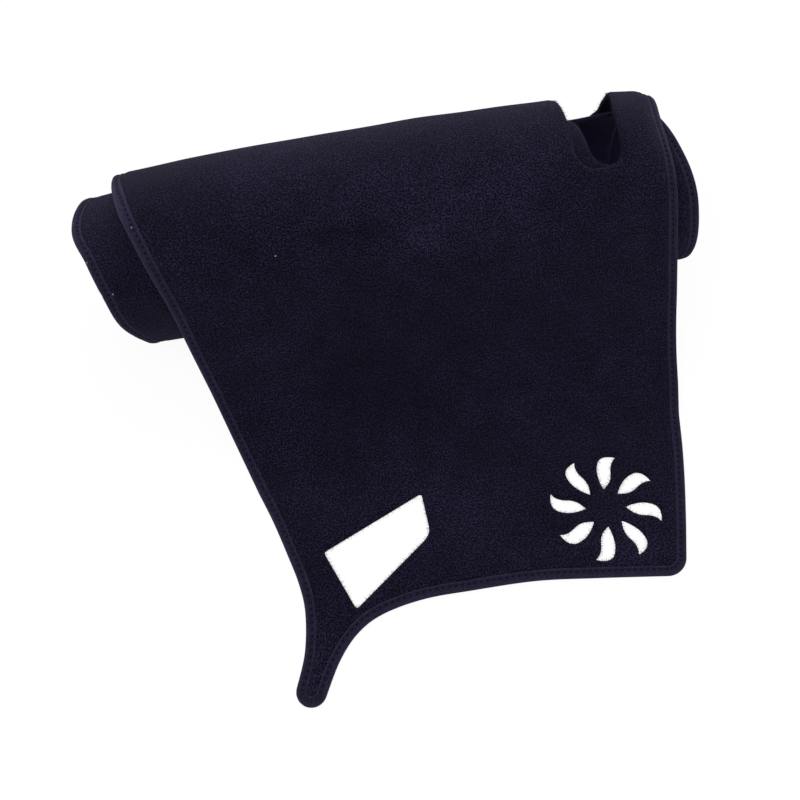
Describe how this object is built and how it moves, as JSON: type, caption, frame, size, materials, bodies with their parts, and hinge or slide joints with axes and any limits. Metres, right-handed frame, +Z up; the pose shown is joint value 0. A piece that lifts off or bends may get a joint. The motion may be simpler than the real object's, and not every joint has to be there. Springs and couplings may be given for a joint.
{
  "type": "dashboard cover mat",
  "caption": "Velour carpet cover mat for a car dashboard, partly rolled up, with a pointed tab, bound edge, vent window and sun-shaped speaker cut-out.",
  "frame": {"origin": "under the middle of the mat's box, on the surface that it lies on", "axes": "+X along the roll's axis, +Y from the flap towards the back of the roll, +Z up"},
  "size_m": [0.556, 0.496, 0.1672],
  "materials": {
    "carpet": "dense cut-pile velour, navy black, matt with a pale sheen at grazing angles",
    "binding": "woven polyester edge tape, one row of lockstitch"
  },
  "bodies": {
    "root": {"mat_sheet": "carpet", "edge_binding": "binding"}
  },
  "joints": []
}
